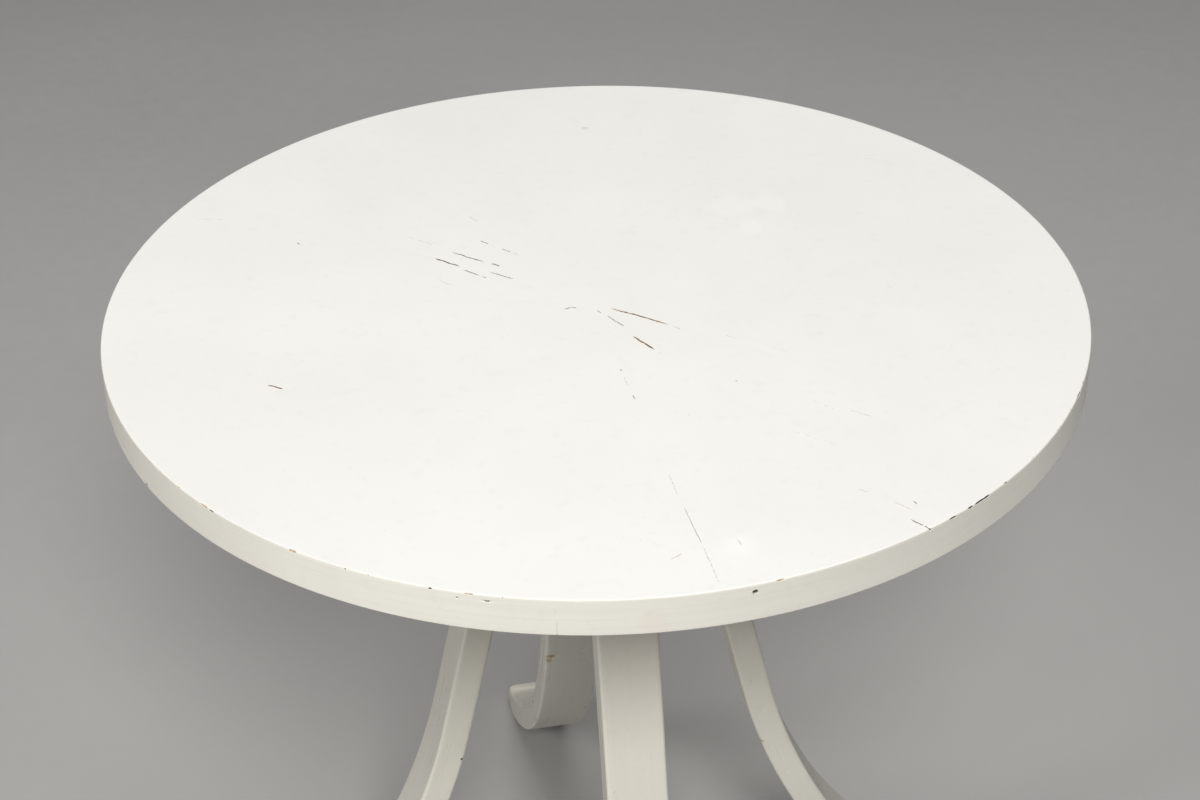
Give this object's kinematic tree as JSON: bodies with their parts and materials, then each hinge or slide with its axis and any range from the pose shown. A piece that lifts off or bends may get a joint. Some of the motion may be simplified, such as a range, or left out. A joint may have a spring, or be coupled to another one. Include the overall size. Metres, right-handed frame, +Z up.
{
  "type": "round pedestal table",
  "caption": "Low round table: painted sunburst-veneered disc top on a square hub with bent legs that sweep out to curled toes.",
  "frame": {"origin": "on the floor, under the centre of the round top", "axes": "+Z up; one leg points along each of +X, +Y, -X and -Y, and -Y is the front leg"},
  "size_m": [0.6, 0.5999, 0.544],
  "materials": {
    "top_paint": "satin-gloss off-white enamel paint over veneer",
    "band_paint": "satin-gloss off-white enamel paint, brushed along the band",
    "core_board": "bare board, hidden",
    "underside_veneer": "bare veneer, aged",
    "base_paint": "satin off-white enamel paint",
    "leg_paint": "satin-gloss off-white enamel paint",
    "screw_steel": "dull",
    "plug_wood": "painted over with the legs"
  },
  "bodies": {
    "root": {"top_core": "core_board", "backing_veneer": "underside_veneer", "edge_band": "band_paint", "mounting_plate": "base_paint", "hub_block": "base_paint", "veneer_leaf_01": "top_paint", "veneer_leaf_02": "top_paint", "veneer_leaf_03": "top_paint", "veneer_leaf_04": "top_paint", "veneer_leaf_05": "top_paint", "veneer_leaf_06": "top_paint", "veneer_leaf_07": "top_paint", "veneer_leaf_08": "top_paint", "veneer_leaf_09": "top_paint", "veneer_leaf_10": "top_paint", "veneer_leaf_11": "top_paint", "veneer_leaf_12": "top_paint", "veneer_leaf_13": "top_paint", "veneer_leaf_14": "top_paint", "veneer_leaf_15": "top_paint", "veneer_leaf_16": "top_paint", "leg_right": "leg_paint", "leg_rear": "leg_paint", "leg_left": "leg_paint", "leg_front": "leg_paint", "plate_screws": "screw_steel", "hub_screws": "screw_steel", "leg_screws": "screw_steel", "leg_plugs": "plug_wood"}
  },
  "joints": []
}
